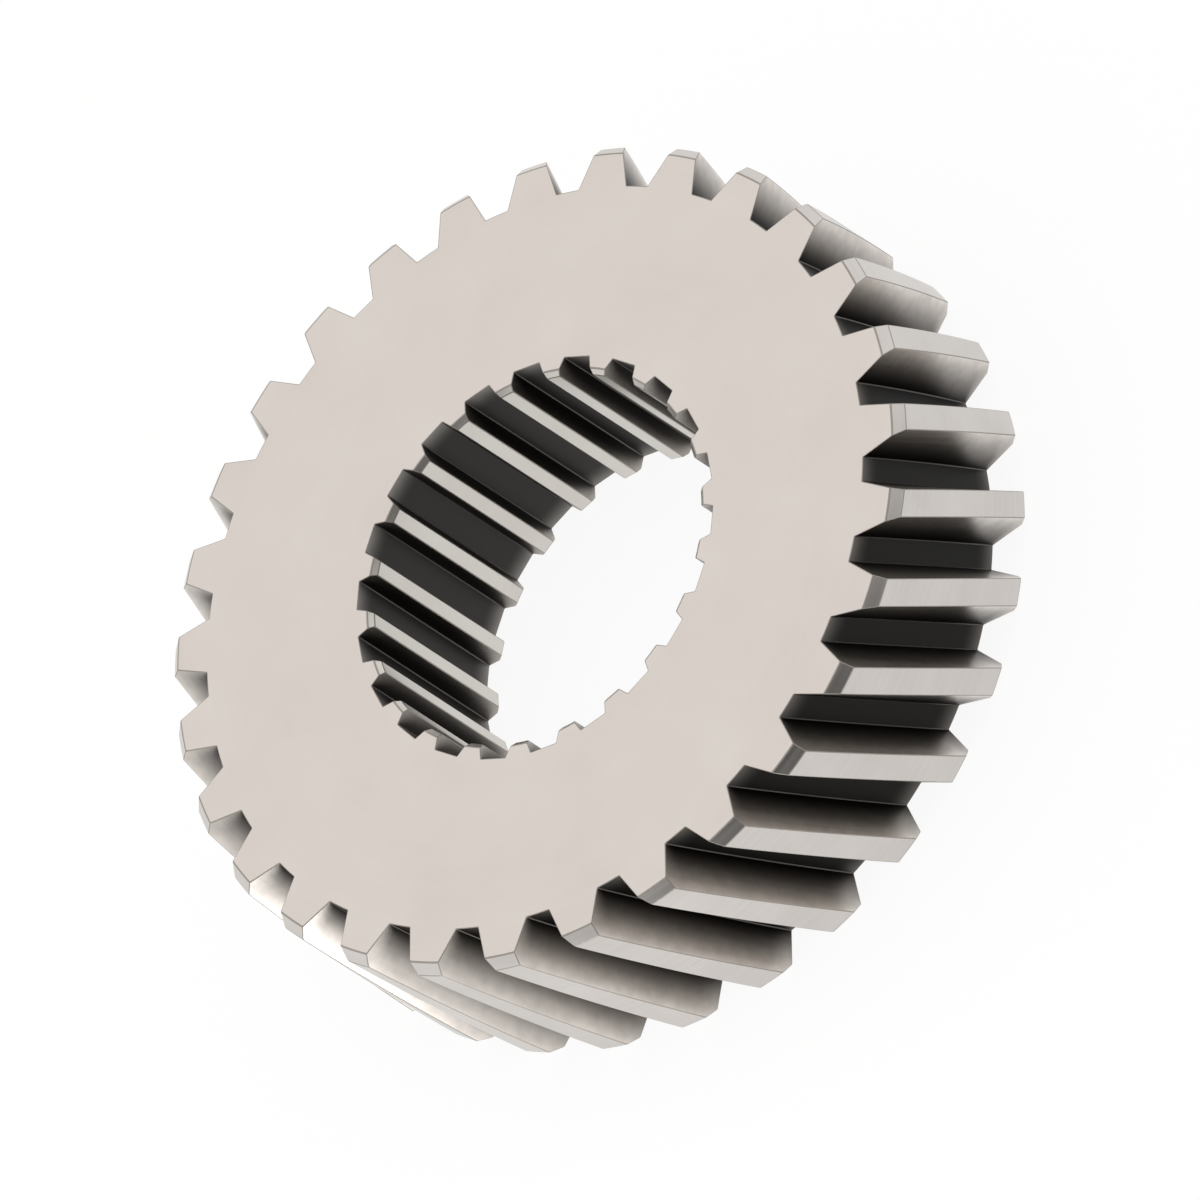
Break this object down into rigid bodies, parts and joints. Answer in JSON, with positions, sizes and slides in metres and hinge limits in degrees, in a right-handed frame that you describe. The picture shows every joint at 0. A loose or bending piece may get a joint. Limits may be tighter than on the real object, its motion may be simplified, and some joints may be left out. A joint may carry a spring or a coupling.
{
  "type": "helical gear",
  "caption": "Left-hand helical gear with chamfered tooth tips, flat faces and a straight splined bore with chamfered lands.",
  "frame": {"origin": "centre of the bore on the rear face, which the gear lies on", "axes": "+Z along the gear's axis to its front face, +Y through the middle of the first spline groove"},
  "size_m": [0.0986, 0.0986, 0.025],
  "materials": {
    "steel": "ground faces, hobbed teeth and broached grooves, oiled"
  },
  "bodies": {
    "root": {"helical_gear": "steel"}
  },
  "joints": []
}
